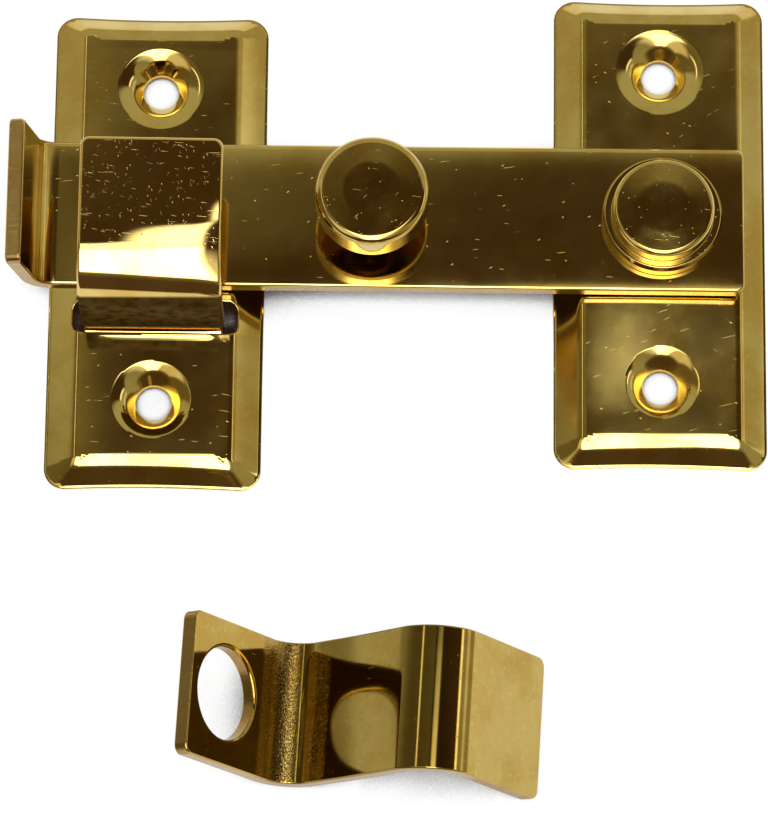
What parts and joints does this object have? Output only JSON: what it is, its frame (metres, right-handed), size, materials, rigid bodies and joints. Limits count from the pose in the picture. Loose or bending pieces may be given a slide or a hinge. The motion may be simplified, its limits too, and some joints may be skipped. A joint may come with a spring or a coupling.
{
  "type": "cabin hook",
  "caption": "Flat brass latch arm on a stud pivot that drops into a bent keeper strap on a pressed plate, with a lift knob and a spare strap.",
  "frame": {"origin": "arm's pivot axis where it meets the plane of the plates' backs, which is also the centre of the pivot plate's screw pattern", "axes": "+Z out of the door along the pivot axis, +Y up the plates along their screw holes, +X from the keeper towards the pivot along the latched arm"},
  "size_m": [0.101, 0.1115, 0.019],
  "materials": {
    "plate_brass": "polished",
    "strap_brass": "polished",
    "arm_brass": "polished",
    "turned_brass": "polished",
    "spring_brass": "satin"
  },
  "bodies": {
    "plates": {"keeper_plate": "plate_brass", "keeper_strap": "strap_brass", "pivot_plate": "plate_brass", "pivot_stud": "turned_brass", "pivot_washer": "spring_brass"},
    "arm": {"latch_arm": "arm_brass", "lift_knob": "turned_brass"},
    "spare_strap": {"spare_keeper_strap": "strap_brass"}
  },
  "joints": [
    {"name": "arm_pivot", "type": "hinge", "parent": "plates", "child": "arm", "pos_m": [0, 0, 0], "axis": [0, 0, 1], "range_deg": [-270, 0.8]},
    {"name": "spare_lift", "type": "slide", "parent": "plates", "child": "spare_strap", "axis": [0, 0, 1], "range_m": [0, 0.03]}
  ]
}
